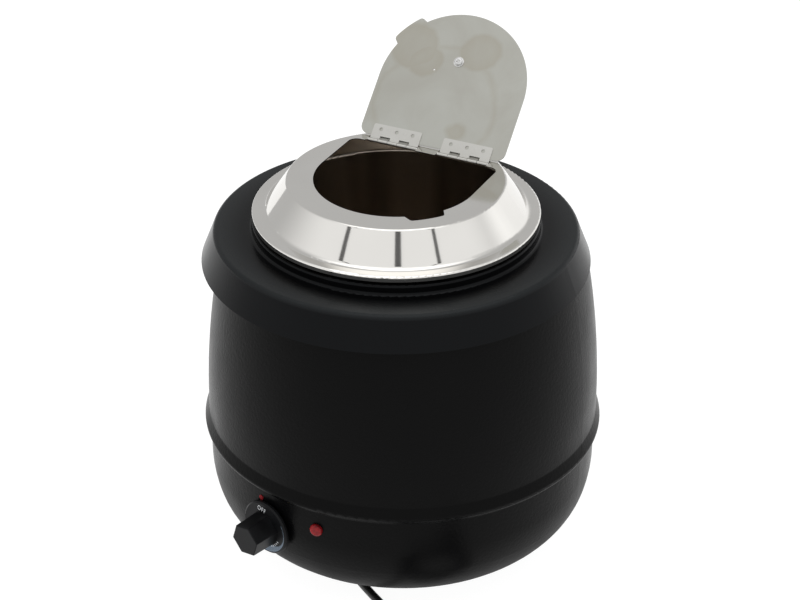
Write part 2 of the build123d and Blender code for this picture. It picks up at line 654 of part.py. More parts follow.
EARTH_PLACE = polar(66, 20, PLATE_TOP_Z)
with BuildPart() as earth_stud:
    with BuildSketch(Plane(origin=EARTH_PLACE)):
        Circle(2.0)
    extrude(amount=12)
    with BuildSketch(Plane(origin=EARTH_PLACE)):
        Circle(4.0)
    extrude(amount=1)
write(earth_stud, "earth_stud")

with BuildPart() as earth_nut:
    with BuildSketch(Plane(origin=EARTH_PLACE + Vector(0, 0, 3.2))):
        RegularPolygon(3.5, 6, major_radius=False)
        Circle(2.02, mode=Mode.SUBTRACT)
    extrude(amount=3.2)
write(earth_nut, "earth_nut")

# ------------------------------------------------------------------ inside wiring
LEAD_R = 1.3


def inside(az, r, z):
    return polar(r, az, z)


leads = {
    "lead_block_to_thermostat": [
        inside(62, 50, 24), inside(30, 62, 30), inside(-20, 96, 28), inside(-70, 116, 34),
        inside(-103, 132, 50), inside(-110.5, 135.7, 72.4),
    ],
    "lead_thermostat_to_element": [
        inside(-99.5, 135.7, 72.4), inside(-98, 127, 44), inside(-99, 100, 28), inside(-100.5, 81, 23),
    ],
    "lead_element_to_cutout": [
        inside(-119.5, 79, 23), inside(-150, 60, 27), inside(160, 45, 25), inside(100, 52, 28),
        inside(74.5, 52.8, 34.5),
    ],
    "lead_cutout_to_block": [inside(65, 52.8, 34.5), inside(66, 50, 30), inside(68, 49, 24)],
}
with BuildPart() as wiring_leads:
    for route in leads.values():
        lead, _ = tube(route, min(4.0, min(loose_radii(route))), LEAD_R)
        add(lead.part)
write(wiring_leads, "wiring_leads")

# ------------------------------------------------------------------ cord gland and inner lead
with BuildPart() as cord_gland:
    wall_r = body_radius(GLAND_Z)
    with BuildSketch(wall_plane(wall_r - 8, GLAND_AZ, GLAND_Z)):
        Circle(7.8)
    extrude(amount=10)
    with BuildSketch(wall_plane(wall_r + 1.5, GLAND_AZ, GLAND_Z)):
        Circle(10.5)
    extrude(amount=3.2)
    with BuildSketch(wall_plane(wall_r + 4.7, GLAND_AZ, GLAND_Z)):
        Circle(7.6)
    with BuildSketch(wall_plane(GLAND_TIP_R, GLAND_AZ, GLAND_Z)):
        Circle(5.2)
    loft()
    with BuildSketch(wall_plane(wall_r - 6.6, GLAND_AZ, GLAND_Z)):
        Circle(9.6)
    extrude(amount=2.6)
    with BuildSketch(wall_plane(wall_r - 10, GLAND_AZ, GLAND_Z)):
        Circle(CORD_R + 0.05)
    extrude(amount=50, mode=Mode.SUBTRACT)
write(cord_gland, "cord_gland")

inner_route = [
    polar(GLAND_TIP_R, GLAND_AZ, GLAND_Z),
    polar(146, GLAND_AZ, GLAND_Z),
    polar(139, GLAND_AZ, 40),
    polar(112, GLAND_AZ, PLATE_TOP_Z + 9),
    polar(BLOCK_R + BLOCK_D / 2 + 0.1, GLAND_AZ, PLATE_TOP_Z + 9),
]
tube(inner_route, [14, 12, 14], CORD_R, "inner_lead")

# ------------------------------------------------------------------ free supply cord
# It falls from the gland to the floor behind, turns back under the body between the feet and
# comes out at the front, where the rest of its length is wound into a coil.
CORD_Z = CORD_R + 0.15
cord_points = [
    tuple(polar(GLAND_TIP_R, GLAND_AZ, GLAND_Z)),
    tuple(polar(GLAND_TIP_R + 25, GLAND_AZ, GLAND_Z)),
    (83, 242, 54),
    (78, 268, 36),
    (64, 290, 17.5),
    (42, 305, 5.5),
    (15, 308, CORD_Z),
    (-11, 296, CORD_Z),
    (-25, 271, CORD_Z),
    (-25, 241, CORD_Z),
    (-16, 210, CORD_Z),
    (-4, 178, CORD_Z),
    (8, 147, CORD_Z),
    (17, 108, CORD_Z),
    (20, 69, CORD_Z),
    (15, 30, CORD_Z),
    (3, -7, CORD_Z),
    (-11, -41, CORD_Z),
    (-15, -76, CORD_Z),
    (-3, -101, CORD_Z),
    (18, -116.5, CORD_Z),
    (42, -132, CORD_Z),
    (67, -146.5, CORD_Z),
    (83.2, -166.4, CORD_Z),
    (93.5, -187, CORD_Z),
]
cord_radii = loose_radii(cord_points)
print("cord bend radii", [round(r, 1) for r in cord_radii])
free_cord, free_length = tube(cord_points, cord_radii, CORD_R, "supply_cord")
free_volume = 3.14159 * CORD_R**2 * free_length
print("free cord", round(free_length, 1), "volume ratio", round(free_cord.part.volume / free_volume, 4))

# the coil: it winds inwards on the floor for two turns and back outwards on top of them
COIL_CENTRE = Vector(135.0, -166.2, 0)
COIL_IN_R, COIL_OUT_R, COIL_H = 27.2, 50.2, 15.2
with BuildPart() as cord_coil:
    with BuildSketch(Plane(origin=COIL_CENTRE + Vector(0, 0, 0.1))):
        Circle(COIL_OUT_R)
        Circle(COIL_IN_R, mode=Mode.SUBTRACT)
    extrude(amount=COIL_H)
    fillet(cord_coil.edges().filter_by(GeomType.CIRCLE), radius=3.4)
write(cord_coil, "cord_coil")

# the last, looser turn climbs over the coil to the plug, which lies across its far side
PLUG_AZ = 26.6                                  # the way the pins point
LOOP_CENTRE, LOOP_R, LOOP_STEP = COIL_CENTRE + Vector(-14.3, 6.2, 0), 38.0, 36.0
PLUG_Z = 26.8
loop_points = [LOOP_CENTRE + polar(LOOP_R, PLUG_AZ - 90 - 5 * LOOP_STEP, 11.6)]
for k in range(5):
    loop_az = PLUG_AZ - 90 - (4.5 - k) * LOOP_STEP
    climb = k / 4
    loop_point_r = LOOP_R / cos(radians(LOOP_STEP / 2))
    loop_points.append(LOOP_CENTRE + polar(loop_point_r, loop_az, 11.6 + 15.2 * climb))
plug_tail = LOOP_CENTRE + polar(LOOP_R, PLUG_AZ - 90, PLUG_Z)
loop_points.append(plug_tail)
tube(loop_points, loose_radii(loop_points), CORD_R, "cord_tail")


def plug_plane(distance):
    """A plane across the plug, at a distance from its tail towards the pins; local y is up."""
    along = polar(1, PLUG_AZ)
    return Plane(origin=plug_tail + along * distance, x_dir=(-along.Y, along.X, 0), z_dir=along)


RELIEF_L, PLUG_L, PIN_L, PIN_PITCH = 22.0, 32.0, 19.0, 19.0
with BuildPart() as plug_body:
    with BuildSketch(plug_plane(0)):
        Circle(5.0)
    with BuildSketch(plug_plane(RELIEF_L)):
        Circle(7.2)
    loft()
    with BuildSketch(plug_plane(RELIEF_L)):
        RectangleRounded(22, 16, 7)
    with BuildSketch(plug_plane(RELIEF_L + 14)):
        RectangleRounded(35, 22, 9)
    loft()
    with BuildSketch(plug_plane(RELIEF_L + 14)):
        RectangleRounded(35, 22, 9)
    extrude(amount=PLUG_L - 14)
    pin_face = plug_body.faces().sort_by(Axis(plug_tail, polar(1, PLUG_AZ)))[-1]
    fillet(pin_face.edges(), radius=1.5)
write(plug_body, "plug_body")

with BuildPart() as plug_pins:
    for side in (-1, 1):
        with BuildSketch(plug_plane(RELIEF_L + PLUG_L)):
            with Locations((side * PIN_PITCH / 2, 0)):
                Circle(2.4)
        extrude(amount=PIN_L)
    fillet(plug_pins.faces().sort_by(Axis(plug_tail, polar(1, PLUG_AZ)))[-2:].edges(), radius=1.2)
write(plug_pins, "plug_pins")
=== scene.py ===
"""Countertop food warmer: black barrel body, mirror lid ring, open serving flap, knob and cord.

Metres, +Z up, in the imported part's frame: the body's axis is at the origin, and the front is -Y.
"""
from math import cos, pi, radians, sin

import bmesh
import bpy
from mathutils import Matrix, Vector


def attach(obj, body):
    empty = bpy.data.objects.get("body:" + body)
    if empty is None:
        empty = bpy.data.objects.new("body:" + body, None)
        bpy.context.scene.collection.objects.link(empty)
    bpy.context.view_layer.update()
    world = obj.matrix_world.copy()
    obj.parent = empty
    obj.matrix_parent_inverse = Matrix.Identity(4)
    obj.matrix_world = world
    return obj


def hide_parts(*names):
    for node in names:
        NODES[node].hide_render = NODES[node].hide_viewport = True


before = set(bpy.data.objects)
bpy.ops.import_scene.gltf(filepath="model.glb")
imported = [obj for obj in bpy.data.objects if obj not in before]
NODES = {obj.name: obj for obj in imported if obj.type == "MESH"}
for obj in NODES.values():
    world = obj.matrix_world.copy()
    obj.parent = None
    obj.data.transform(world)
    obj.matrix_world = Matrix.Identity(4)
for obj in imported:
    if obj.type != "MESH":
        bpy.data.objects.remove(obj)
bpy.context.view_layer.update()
UP = Vector((0, 0, 1))


def polar(r, az, z=0.0):
    """A point at radius r and azimuth az (degrees), in the unit of r."""
    return Vector((r * cos(radians(az)), r * sin(radians(az)), z))


# ---------------------------------------------------------------- camera
CAMERA_PLACE = Vector((0.6433, -1.3133, 1.0724))
CAMERA_TARGET = Vector((0.0150, -0.0368, 0.2475))
CAMERA_ROLL = 0.277                          # degrees
CAMERA_AZ = -63.8                            # azimuth of the camera from the body, in degrees
CAMERA_LENS, SENSOR_WIDTH = 87.75, 36.0      # millimetres


def make_camera():
    data = bpy.data.cameras.new("camera")
    data.lens = CAMERA_LENS
    data.sensor_width = SENSOR_WIDTH
    camera = bpy.data.objects.new("camera", data)
    bpy.context.scene.collection.objects.link(camera)
    ahead = (CAMERA_TARGET - CAMERA_PLACE).normalized()
    level = ahead.cross(UP).normalized()
    above = level.cross(ahead)
    c, s = cos(radians(CAMERA_ROLL)), sin(radians(CAMERA_ROLL))
    axes = Matrix((c * level + s * above, c * above - s * level, -ahead)).transposed()
    camera.matrix_world = Matrix.Translation(CAMERA_PLACE) @ axes.to_4x4()
    bpy.context.scene.camera = camera


make_camera()


# ---------------------------------------------------------------- making pieces
def link(obj):
    bpy.context.scene.collection.objects.link(obj)
    return obj


def mesh_piece(name, bm, smooth=True):
    """An object from a bmesh, which is used up."""
    bmesh.ops.recalc_face_normals(bm, faces=bm.faces)
    mesh = bpy.data.meshes.new(name)
    bm.to_mesh(mesh)
    bm.free()
    for face in mesh.polygons:
        face.use_smooth = smooth
    return link(bpy.data.objects.new(name, mesh))


def finish_piece(obj, body, material, replaces=()):
    """Gives a piece its material, body and material slot, and hides the CAD nodes it stands for."""
    obj.data.materials.clear()
    obj.data.materials.append(material)
    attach(obj, body)
    if replaces:
        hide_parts(*replaces)
    return obj


def wall_matrix(r, az, z):
    """Places local x level along the wall, y up and z straight out of it, in metres."""
    out = polar(1, az)
    return Matrix.Translation(polar(r, az, z)) @ Matrix((UP.cross(out), UP, out)).transposed().to_4x4()


# ---------------------------------------------------------------- node materials
class Nodes:
    """Short hand for building the nodes of a material or of the world."""

    def __init__(self, owner):
        owner.use_nodes = True
        self.tree = owner.node_tree

    def add(self, kind, **values):
        node = self.tree.nodes.new(kind)
        for key, value in values.items():
            if key in node.inputs:
                self.put(node.inputs[key], value)
            else:
                setattr(node, key, value)
        return node

    def put(self, socket, value):
        if isinstance(value, bpy.types.NodeSocket):
            self.tree.links.new(value, socket)
        else:
            socket.default_value = value

    def span(self, value, low, high, to_low, to_high, how="LINEAR"):
        """Maps low..high to to_low..to_high, held at the ends."""
        node = self.add("ShaderNodeMapRange", interpolation_type=how)
        for socket, v in zip(node.inputs, (value, low, high, to_low, to_high)):
            self.put(socket, v)
        return node.outputs[0]

    def math(self, operation, a, b=0.0):
        node = self.add("ShaderNodeMath", operation=operation)
        self.put(node.inputs[0], a)
        self.put(node.inputs[1], b)
        return node.outputs[0]


class MaterialNodes(Nodes):
    """A material's nodes, with patterns that lie in the object's own coordinates."""

    def __init__(self, name):
        self.material = bpy.data.materials.new(name)
        super().__init__(self.material)
        self.shader = self.tree.nodes["Principled BSDF"]
        self.place = self.add("ShaderNodeTexCoord").outputs["Object"]

    def set(self, **values):
        for key, value in values.items():
            self.put(self.shader.inputs[key.replace("_", " ")], value)

    def scaled(self, x, y, z):
        return self.add("ShaderNodeMapping", Vector=self.place, Scale=(x, y, z)).outputs["Vector"]

    def noise(self, scale, detail=2.0, rough=0.5, source=None, distortion=0.0):
        node = self.add("ShaderNodeTexNoise", Vector=source or self.place, Scale=scale, Detail=detail,
                        Roughness=rough, Distortion=distortion)
        return node.outputs["Fac"]

    def mix(self, factor, a, b):
        node = self.add("ShaderNodeMix", data_type="RGBA")
        for socket, v in ((node.inputs[0], factor), (node.inputs[6], a), (node.inputs[7], b)):
            self.put(socket, v)
        return node.outputs[2]

    def bump(self, height, strength, distance):
        node = self.add("ShaderNodeBump", Height=height, Strength=strength, Distance=distance)
        self.set(Normal=node.outputs["Normal"])

    def axes(self, source=None):
        """The x, y and z of a point."""
        return self.add("ShaderNodeSeparateXYZ", Vector=source or self.place).outputs

    def from_axis(self, axis):
        """How far a point is from the upright line through axis, and how high it is."""
        x, y, z = self.axes()
        x, y = self.math("SUBTRACT", x, axis[0]), self.math("SUBTRACT", y, axis[1])
        squared = self.math("ADD", self.math("MULTIPLY", x, x), self.math("MULTIPLY", y, y))
        return self.math("POWER", squared, 0.5), z


def grey(v):
    return (v, v, v, 1)


# roughness added to the barrel: heights and amounts, so that the coil of cord hardly shows in it
ROUGH_NEAR_FLOOR = (0.015, 0.085, 0.30, 0.0)
SHEEN_EDGE = 0.0040, 0.0005                   # the painted sheen on a flat face starts and is full this far below it


def black_coat(name, peel, rough, level, tint, sheen_face=None):
    """Black powder coat: an orange-peel skin with an uneven sheen.

    The last argument gives the axis, inner and outer radius, and height of a flat face whose colour
    is painted a little greyer, as a painted sheen. A coat without one is rougher near the floor.
    """
    n = MaterialNodes(name)
    colour = n.mix(n.noise(9.0, 3.0), (0.0012, 0.0013, 0.0016, 1), (0.0022, 0.0022, 0.0024, 1))
    haze = n.span(n.noise(30.0, 4.0), 0.3, 0.7, rough - 0.035, rough + 0.045)
    if sheen_face:
        axis, inner_r, outer_r, face_z = sheen_face
        away, z = n.from_axis(axis)
        on_face = n.span(z, face_z - SHEEN_EDGE[0], face_z - SHEEN_EDGE[1], 0.0, 1.0)
        wear_and_sheen = n.math("MULTIPLY", n.span(away, inner_r, outer_r, 0.0, 1.0), on_face)
        # painted sheen: the flat face's colour is made greyer where it would reflect light
        colour = n.mix(wear_and_sheen, colour, (0.0150, 0.0165, 0.0172, 1))
    else:
        haze = n.math("ADD", haze, n.span(n.axes()[2], *ROUGH_NEAR_FLOOR))
    n.set(Base_Color=colour, Roughness=haze, Specular_IOR_Level=level, Specular_Tint=tint)
    skin = n.math("ADD", n.noise(360.0, 1.5, 0.45), n.math("MULTIPLY", n.noise(1300.0, 1.0), 0.25))
    n.bump(skin, 1.0, peel)
    return n.material


def steel(name, light, dark, rough, spread=0.05, grain=(1.0, 1.0, 1.0), grain_depth=0.0,
          grain_scale=900.0, smudge=7.0):
    """Bare metal with cloudy smudges and, if it is brushed, a grain drawn out along its long scale."""
    n = MaterialNodes(name)
    cloud = n.noise(smudge, 3.0, 0.55, distortion=0.6)
    n.set(Metallic=1.0, Base_Color=n.mix(n.span(cloud, 0.35, 0.68, 0.0, 1.0), light, dark))
    line = n.noise(grain_scale, 2.0, source=n.scaled(*grain))
    uneven = n.math("ADD", n.math("MULTIPLY", cloud, 2 * spread), n.math("MULTIPLY", line, spread))
    n.set(Roughness=n.math("ADD", uneven, rough - 1.5 * spread))
    if grain_depth:
        n.bump(line, 1.0, grain_depth)
    return n.material


def moulded(name, light, dark, rough, texture=0.00002, scale=900.0, level=0.4):
    """Moulded plastic or rubber: a fine matt texture and a little dust."""
    n = MaterialNodes(name)
    cloud = n.noise(60.0, 4.0)
    n.set(Base_Color=n.mix(n.span(cloud, 0.3, 0.7, 0.0, 1.0), dark, light),
          Roughness=n.span(cloud, 0.3, 0.7, rough - 0.05, rough + 0.07), Specular_IOR_Level=level)
    n.bump(n.noise(scale, 2.0), 1.0, texture)
    return n.material


def spun_steel(name, light, dark, rough, lines, depth, axis=(0, 0), drawn_out=0.0):
    """Steel turned on a lathe or scoured by hand: fine rings about an axis, and streaks down it."""
    n = MaterialNodes(name)
    away, z = n.from_axis(axis)
    streak = n.noise(26.0, 2.0, 0.6, source=n.scaled(1.0, 1.0, 0.05))
    across = n.add("ShaderNodeCombineXYZ", X=away, Y=0.0, Z=z).outputs[0]
    ring = n.noise(lines, 2.0, 0.6, source=across)
    uneven = n.math("ADD", n.math("MULTIPLY", ring, 0.10), n.math("MULTIPLY", streak, 0.10))
    n.set(Metallic=1.0, Base_Color=n.mix(n.span(streak, 0.35, 0.65, 0.0, 1.0), dark, light),
          Roughness=n.math("ADD", uneven, rough - 0.10), Anisotropic=drawn_out,
          Tangent=n.add("ShaderNodeTangent", direction_type="RADIAL", axis="Z").outputs[0])
    n.bump(ring, 1.0, depth)
    return n.material


# dried water on the flap: each stain's centre and radius, in metres
FLAP_STAINS = [(Vector((0.0120, 0.1270, 0.4096)), 0.0165), (Vector((-0.0520, 0.1250, 0.4076)), 0.0200),
               (Vector((-0.0360, 0.1150, 0.3976)), 0.0120), (Vector((-0.0130, 0.0860, 0.3690)), 0.0560),
               (Vector((0.0142, 0.0741, 0.3568)), 0.0075)]
LARGE_STAIN = 0.03                           # one of this radius or more is only a ring
STAIN_RIM = 0.0042                           # how wide a stain's dark edge is to either side
STAIN_FADE = 0.010                           # how far in from its edge a small stain grows paler
STAIN_WANDER = 0.016                         # how far the noise moves an outline, from least to most


def stained_steel(name):
    """The flap: satin steel with a fine grain, and dried water stains with darker rims."""
    n = MaterialNodes(name)
    veil = n.noise(16.0, 4.0, 0.55, distortion=1.2)
    warp = n.math("MULTIPLY", n.math("SUBTRACT", n.noise(24.0, 3.0, 0.6), 0.5), STAIN_WANDER)
    stain = 0.0
    for centre, size in FLAP_STAINS:
        small = size < LARGE_STAIN
        away = n.add("ShaderNodeVectorMath", operation="DISTANCE")
        n.put(away.inputs[0], n.place)
        n.put(away.inputs[1], centre)
        beyond = n.math("SUBTRACT", n.math("ADD", away.outputs["Value"], warp), size)
        rim = n.span(n.math("ABSOLUTE", beyond), 0.0, STAIN_RIM, 0.48 if small else 0.26, 0.0)
        fill = n.span(beyond, -STAIN_FADE, 0.0, 0.30, 0.45) if small else 0.0
        inside = n.math("MULTIPLY", fill, n.math("LESS_THAN", beyond, 0.0))
        stain = n.math("MAXIMUM", stain, n.math("MAXIMUM", inside, rim))
    clean = n.mix(n.span(veil, 0.3, 0.7, 0.0, 1.0), (0.375, 0.370, 0.336, 1), (0.415, 0.417, 0.385, 1))
    grain = n.noise(1400.0, 2.0, source=n.scaled(1.0, 0.04, 0.04))
    dull = n.math("ADD", n.math("MULTIPLY", veil, 0.08), 0.27)
    n.set(Metallic=1.0, Base_Color=n.mix(stain, clean, (0.315, 0.290, 0.232, 1)),
          Roughness=n.math("ADD", n.math("MULTIPLY", grain, 0.10), dull))
    n.bump(grain, 1.0, 0.000012)
    return n.material


def galvanised():
    """Galvanised sheet: crystal spangles that differ in tone and gloss."""
    n = MaterialNodes("galvanised_sheet")
    spangle = n.add("ShaderNodeTexVoronoi", Vector=n.place, Scale=140.0).outputs["Color"]
    tone = n.axes(spangle)[0]
    n.set(Metallic=1.0, Base_Color=n.mix(tone, (0.46, 0.48, 0.50, 1), (0.68, 0.70, 0.71, 1)),
          Roughness=n.span(tone, 0.0, 1.0, 0.30, 0.48))
    n.bump(n.noise(500.0), 1.0, 0.00002)
    return n.material


def lamp_plastic():
    """Translucent red lens."""
    n = MaterialNodes("lamp_red_lens")
    mottle = n.span(n.noise(260.0, 2.0), 0.35, 0.65, 0.0, 1.0)
    n.set(Base_Color=n.mix(mottle, (0.27, 0.008, 0.011, 1), (0.11, 0.003, 0.005, 1)), Roughness=0.24,
          Specular_IOR_Level=0.20)
    n.bump(n.noise(700.0, 1.0), 1.0, 0.00003)
    return n.material


def ink(name, colour):
    """Printing ink, with a little wear."""
    n = MaterialNodes(name)
    wear_and_sheen = n.span(n.noise(900.0, 3.0), 0.32, 0.55, 0.55, 1.0)
    faded = (*(0.35 * c for c in colour[:3]), 1)
    n.set(Base_Color=n.mix(wear_and_sheen, faded, colour), Roughness=0.5, Specular_IOR_Level=0.1)
    return n.material


UPPER_AXIS = (-0.0056, -0.0028)              # the collar, pot and lid stand a little off the body's axis
# the collar's flat top, whose colour carries a painted sheen
COLLAR_TOP = (UPPER_AXIS, 0.130, 0.150, 0.2995)
M_BODY = black_coat("body_powder_coat", peel=0.00017, rough=0.29, level=0.065, tint=(1.0, 0.99, 0.95, 1))
M_COLLAR = black_coat("collar_powder_coat", peel=0.00003, rough=0.24, level=0.115, tint=(0.92, 0.96, 1.0, 1),
                      sheen_face=COLLAR_TOP)
M_MIRROR = steel("mirror_steel", (0.80, 0.785, 0.755, 1), (0.74, 0.725, 0.695, 1), rough=0.065, spread=0.02,
                 grain_scale=60.0)
M_FLAP = stained_steel("flap_satin_steel")
M_LEAF = steel("hinge_leaf_steel", (0.52, 0.515, 0.49, 1), (0.43, 0.42, 0.39, 1), rough=0.30, spread=0.06,
               grain=(1, 0.05, 0.05), grain_depth=0.000008)
M_PIN = steel("pin_steel", (0.78, 0.77, 0.75, 1), (0.68, 0.67, 0.65, 1), rough=0.14, spread=0.03)
M_POT = spun_steel("pot_scoured_steel", (0.60, 0.53, 0.455, 1), (0.34, 0.295, 0.25, 1), rough=0.36,
                   lines=900.0, depth=0.00002, axis=UPPER_AXIS, drawn_out=0.75)
M_PAN = spun_steel("pan_spun_steel", (0.52, 0.52, 0.50, 1), (0.40, 0.40, 0.39, 1), rough=0.42,
                   lines=700.0, depth=0.00003)
M_ZINC = steel("zinc_plated_steel", (0.72, 0.72, 0.72, 1), (0.56, 0.56, 0.55, 1), rough=0.24, spread=0.06,
               smudge=90.0)
M_GALVANISED = galvanised()
M_ELEMENT = steel("heat_browned_steel", (0.30, 0.27, 0.24, 1), (0.16, 0.12, 0.10, 1), rough=0.45,
                  spread=0.08, smudge=40.0)
M_BRASS = steel("turned_brass", (0.78, 0.60, 0.30, 1), (0.58, 0.42, 0.20, 1), rough=0.28, spread=0.06,
                smudge=80.0)
M_COPPER = steel("drawn_copper", (0.74, 0.43, 0.30, 1), (0.50, 0.26, 0.18, 1), rough=0.32, spread=0.06,
                 smudge=60.0)
M_NICKEL = steel("nickel_plate", (0.76, 0.73, 0.67, 1), (0.64, 0.61, 0.55, 1), rough=0.18, spread=0.04,
                 smudge=80.0)
M_KNOB = moulded("knob_plastic", (0.0065, 0.007, 0.0078, 1), (0.0035, 0.0036, 0.0040, 1), rough=0.36,
                 texture=0.000015, scale=1600.0, level=0.12)
M_LID_KNOB = moulded("lid_knob_phenolic", grey(0.014), grey(0.007), rough=0.30, texture=0.00001, scale=500.0)
M_LAMP = lamp_plastic()
M_LAMP_CASE = moulded("lamp_case_nylon", grey(0.02), grey(0.012), rough=0.5)
M_RUBBER = moulded("foot_rubber", (0.022, 0.021, 0.020, 1), grey(0.010), rough=0.68, texture=0.00005,
                   scale=700.0, level=0.3)
M_CORD = moulded("cord_sheath", grey(0.014), grey(0.008), rough=0.36, texture=0.00002, scale=500.0)
M_PLUG = moulded("plug_moulding", grey(0.016), grey(0.009), rough=0.42, texture=0.00003, scale=1200.0)
M_NYLON = moulded("natural_nylon", (0.66, 0.63, 0.55, 1), (0.56, 0.52, 0.44, 1), rough=0.45)
M_CERAMIC = moulded("steatite", (0.70, 0.68, 0.62, 1), (0.60, 0.57, 0.51, 1), rough=0.55)
M_SLEEVE = moulded("glass_sleeving", (0.50, 0.16, 0.08, 1), (0.34, 0.10, 0.05, 1), rough=0.65,
                   texture=0.00008, scale=1500.0)
M_WHITE_INK = ink("white_print", (0.72, 0.74, 0.76, 1))
M_BLUE_INK = ink("grey_blue_print", (0.16, 0.20, 0.25, 1))
M_RED_INK = ink("red_print", (0.20, 0.006, 0.010, 1))

CAD_MATERIALS = {
    M_BODY: ["outer_shell"], M_COLLAR: ["collar"], M_PAN: ["water_pan"], M_POT: ["soup_pot"],
    M_MIRROR: ["lid_ring"], M_LEAF: ["ring_hinge_leaves", "flap_hinge_leaves"], M_PIN: ["hinge_pins"],
    M_FLAP: ["lid_flap"], M_LID_KNOB: ["lid_knob"],
    M_ZINC: ["lid_knob_washer", "lid_knob_screw", "thermostat_shaft", "thermostat_body", "clamp_stud",
             "clamp_nut", "foot_screws", "base_screws", "fixing_nuts"],
    M_KNOB: ["control_knob"], M_BRASS: ["thermostat_nut", "earth_stud", "earth_nut"],
    M_COPPER: ["sensing_bulb", "capillary_tube"],
    M_GALVANISED: ["thermostat_bracket", "bulb_clip", "lamp_clip", "element_clamp", "base_plate"],
    M_LAMP: ["lamp_lens"], M_LAMP_CASE: ["lamp_housing", "cord_gland"], M_RED_INK: ["pointer_mark"],
    M_ELEMENT: ["heating_element"], M_CERAMIC: ["thermal_cutout"], M_RUBBER: ["feet"],
    M_NYLON: ["terminal_block"], M_SLEEVE: ["wiring_leads"], M_CORD: ["inner_lead"],
    M_PLUG: ["plug_body"], M_NICKEL: ["plug_pins"],
}
for material, names in CAD_MATERIALS.items():
    for name in names:
        for material_slot in NODES[name].material_slots:
            material_slot.material = material

# ---------------------------------------------------------------- supply cord
CORD_R = 0.00375
CORD_Z = 0.0039                              # its middle where it lies on the floor
CORD_EXIT = polar(0.206, 69.5, 0.066)
CORD_ROUTE = [
    tuple(CORD_EXIT),
    tuple(polar(0.231, 69.5, 0.066)),
    (0.083, 0.242, 0.054),
    (0.078, 0.268, 0.036),
    (0.064, 0.290, 0.0175),
    (0.042, 0.305, 0.0055),
    (0.015, 0.308, CORD_Z),
    (-0.011, 0.296, CORD_Z),
    (-0.025, 0.271, CORD_Z),
    (-0.025, 0.241, CORD_Z),
    (-0.016, 0.210, CORD_Z),
    (-0.004, 0.178, CORD_Z),
    (0.008, 0.147, CORD_Z),
    (0.017, 0.108, CORD_Z),
    (0.020, 0.069, CORD_Z),
    (0.015, 0.030, CORD_Z),
    (0.003, -0.007, CORD_Z),
    (-0.011, -0.041, CORD_Z),
    (-0.015, -0.076, CORD_Z),
    (-0.003, -0.101, CORD_Z),
    (0.018, -0.1165, CORD_Z),
    (0.042, -0.132, CORD_Z),
    (0.067, -0.1465, CORD_Z),
    (0.0832, -0.1664, CORD_Z),
]
COIL_CENTRE = Vector((0.1350, -0.1662, 0))
COIL_START_AZ = 206.6                        # where the cord meets the coil
COIL_OUT_R, COIL_STEP = 0.0464, 0.0077       # outermost turn, and the turns' spacing
COIL_STEPS = 16                              # points in a turn
LOWER_TURNS, UPPER_TURNS = 2.0, 1.75
UPPER_RISE, RISE_TURNS = 0.0075, 0.2         # the upper turns lie higher, after this part of a turn
LAST_TURN, SWING_TURNS, SWING = 3.45, 0.3, 0.0055       # the cord then swings out over this part of a turn
LOOP_CENTRE, LOOP_R, LOOP_STEP = COIL_CENTRE + Vector((-0.0143, 0.0062, 0)), 0.038, 36.0
LOOP_POINTS, LOOP_Z = 5, 0.0116              # the loop that climbs from the coil to the plug
PLUG_AZ, PLUG_Z = 26.6, 0.0268


def smooth_step(t):
    t = min(max(t, 0.0), 1.0)
    return t * t * (3 - 2 * t)


def coil_points():
    """Two turns inwards on the floor, then outwards on top of them, and last a looser climb to the plug."""
    points = []
    cut = 1 / cos(pi / COIL_STEPS)           # the spline runs inside its control points
    for k in range(int((LOWER_TURNS + UPPER_TURNS) * COIL_STEPS)):
        turn = k / COIL_STEPS
        inwards = min(turn, LOWER_TURNS)
        outwards = max(turn - LOWER_TURNS, 0.0)
        swing = SWING * smooth_step((turn - LAST_TURN) / SWING_TURNS)
        r = COIL_OUT_R - COIL_STEP * (inwards - outwards) + swing
        z = CORD_Z + UPPER_RISE * smooth_step((turn - LOWER_TURNS) / RISE_TURNS)
        points.append(COIL_CENTRE + polar(r * cut, COIL_START_AZ + 360 * turn, z))
    for k in range(LOOP_POINTS):
        along = k / (LOOP_POINTS - 1)
        climb = (smooth_step(along) + along) / 2
        az = PLUG_AZ - 90 - (LOOP_POINTS - 0.5 - k) * LOOP_STEP
        z = LOOP_Z + (PLUG_Z - LOOP_Z) * climb
        points.append(LOOP_CENTRE + polar(LOOP_R / cos(radians(LOOP_STEP / 2)), az, z))
    points.append(LOOP_CENTRE + polar(LOOP_R, PLUG_AZ - 90, PLUG_Z))
    return points


def make_cord():
    curve = bpy.data.curves.new("mains_cord", "CURVE")
    curve.dimensions = "3D"
    curve.bevel_depth = CORD_R
    curve.bevel_resolution = 6
    curve.resolution_u = 8
    curve.use_fill_caps = True
    route = [Vector(p) for p in CORD_ROUTE] + coil_points()
    spline = curve.splines.new("NURBS")
    spline.points.add(len(route) - 1)
    for point, place in zip(spline.points, route):
        point.co = (*place, 1.0)
    spline.order_u = 3
    spline.use_endpoint_u = True
    cord = link(bpy.data.objects.new("mains_cord", curve))
    finish_piece(cord, "kettle", M_CORD, ["supply_cord", "cord_coil", "cord_tail"])


make_cord()

